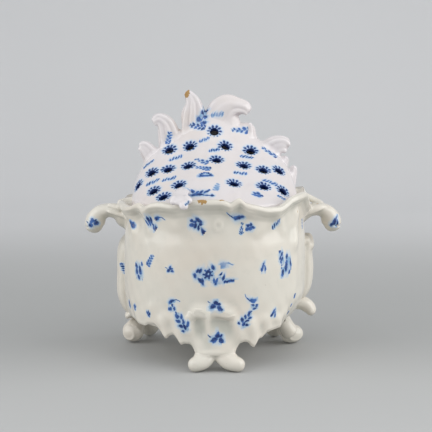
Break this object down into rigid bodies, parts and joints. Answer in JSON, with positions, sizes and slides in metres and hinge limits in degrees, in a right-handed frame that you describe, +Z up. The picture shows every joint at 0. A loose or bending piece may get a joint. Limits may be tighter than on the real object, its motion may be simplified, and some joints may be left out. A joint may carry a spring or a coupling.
{
  "type": "footed flower vase",
  "caption": "Glazed earthenware flower holder: a D-plan vessel on scroll feet with scroll handles and a lift-off pierced cover that holds stems apart, painted with blue sprigs.",
  "frame": {"origin": "bottom centre of the bounding box, where the feet stand", "axes": "+Z up, the bowed front faces -Y, the flat back faces +Y, the right handle as seen from the front points to +X"},
  "size_m": [0.2178, 0.1396, 0.2177],
  "materials": {
    "vessel_glaze": "glossy warm white tin glaze, slightly uneven, with blue sprigs painted on it",
    "cover_glaze": "glossy pinkish white tin glaze with a blue daisy painted round each stem hole"
  },
  "bodies": {
    "vessel": {"vessel_wall": "vessel_glaze", "back_wall": "vessel_glaze", "floor_plate": "vessel_glaze", "cover_ledge": "vessel_glaze", "front_foot": "vessel_glaze", "left_foot": "vessel_glaze", "right_foot": "vessel_glaze", "front_shell": "vessel_glaze", "left_strap": "vessel_glaze", "right_strap": "vessel_glaze", "left_hook": "vessel_glaze", "right_hook": "vessel_glaze", "left_handle": "vessel_glaze", "right_handle": "vessel_glaze"},
    "cover": {"pierced_cover": "cover_glaze", "cover_collar": "cover_glaze", "leaf_low_left": "cover_glaze", "leaf_mid_left": "cover_glaze", "leaf_flame": "cover_glaze", "leaf_crown": "cover_glaze", "leaf_knob": "cover_glaze", "leaf_right": "cover_glaze", "leaf_spur": "cover_glaze", "leaf_thorn": "cover_glaze", "edge_scroll": "cover_glaze"}
  },
  "joints": [
    {"name": "cover_lift", "type": "slide", "parent": "vessel", "child": "cover", "axis": [0, 0, 1], "range_m": [0, 0.06]}
  ]
}
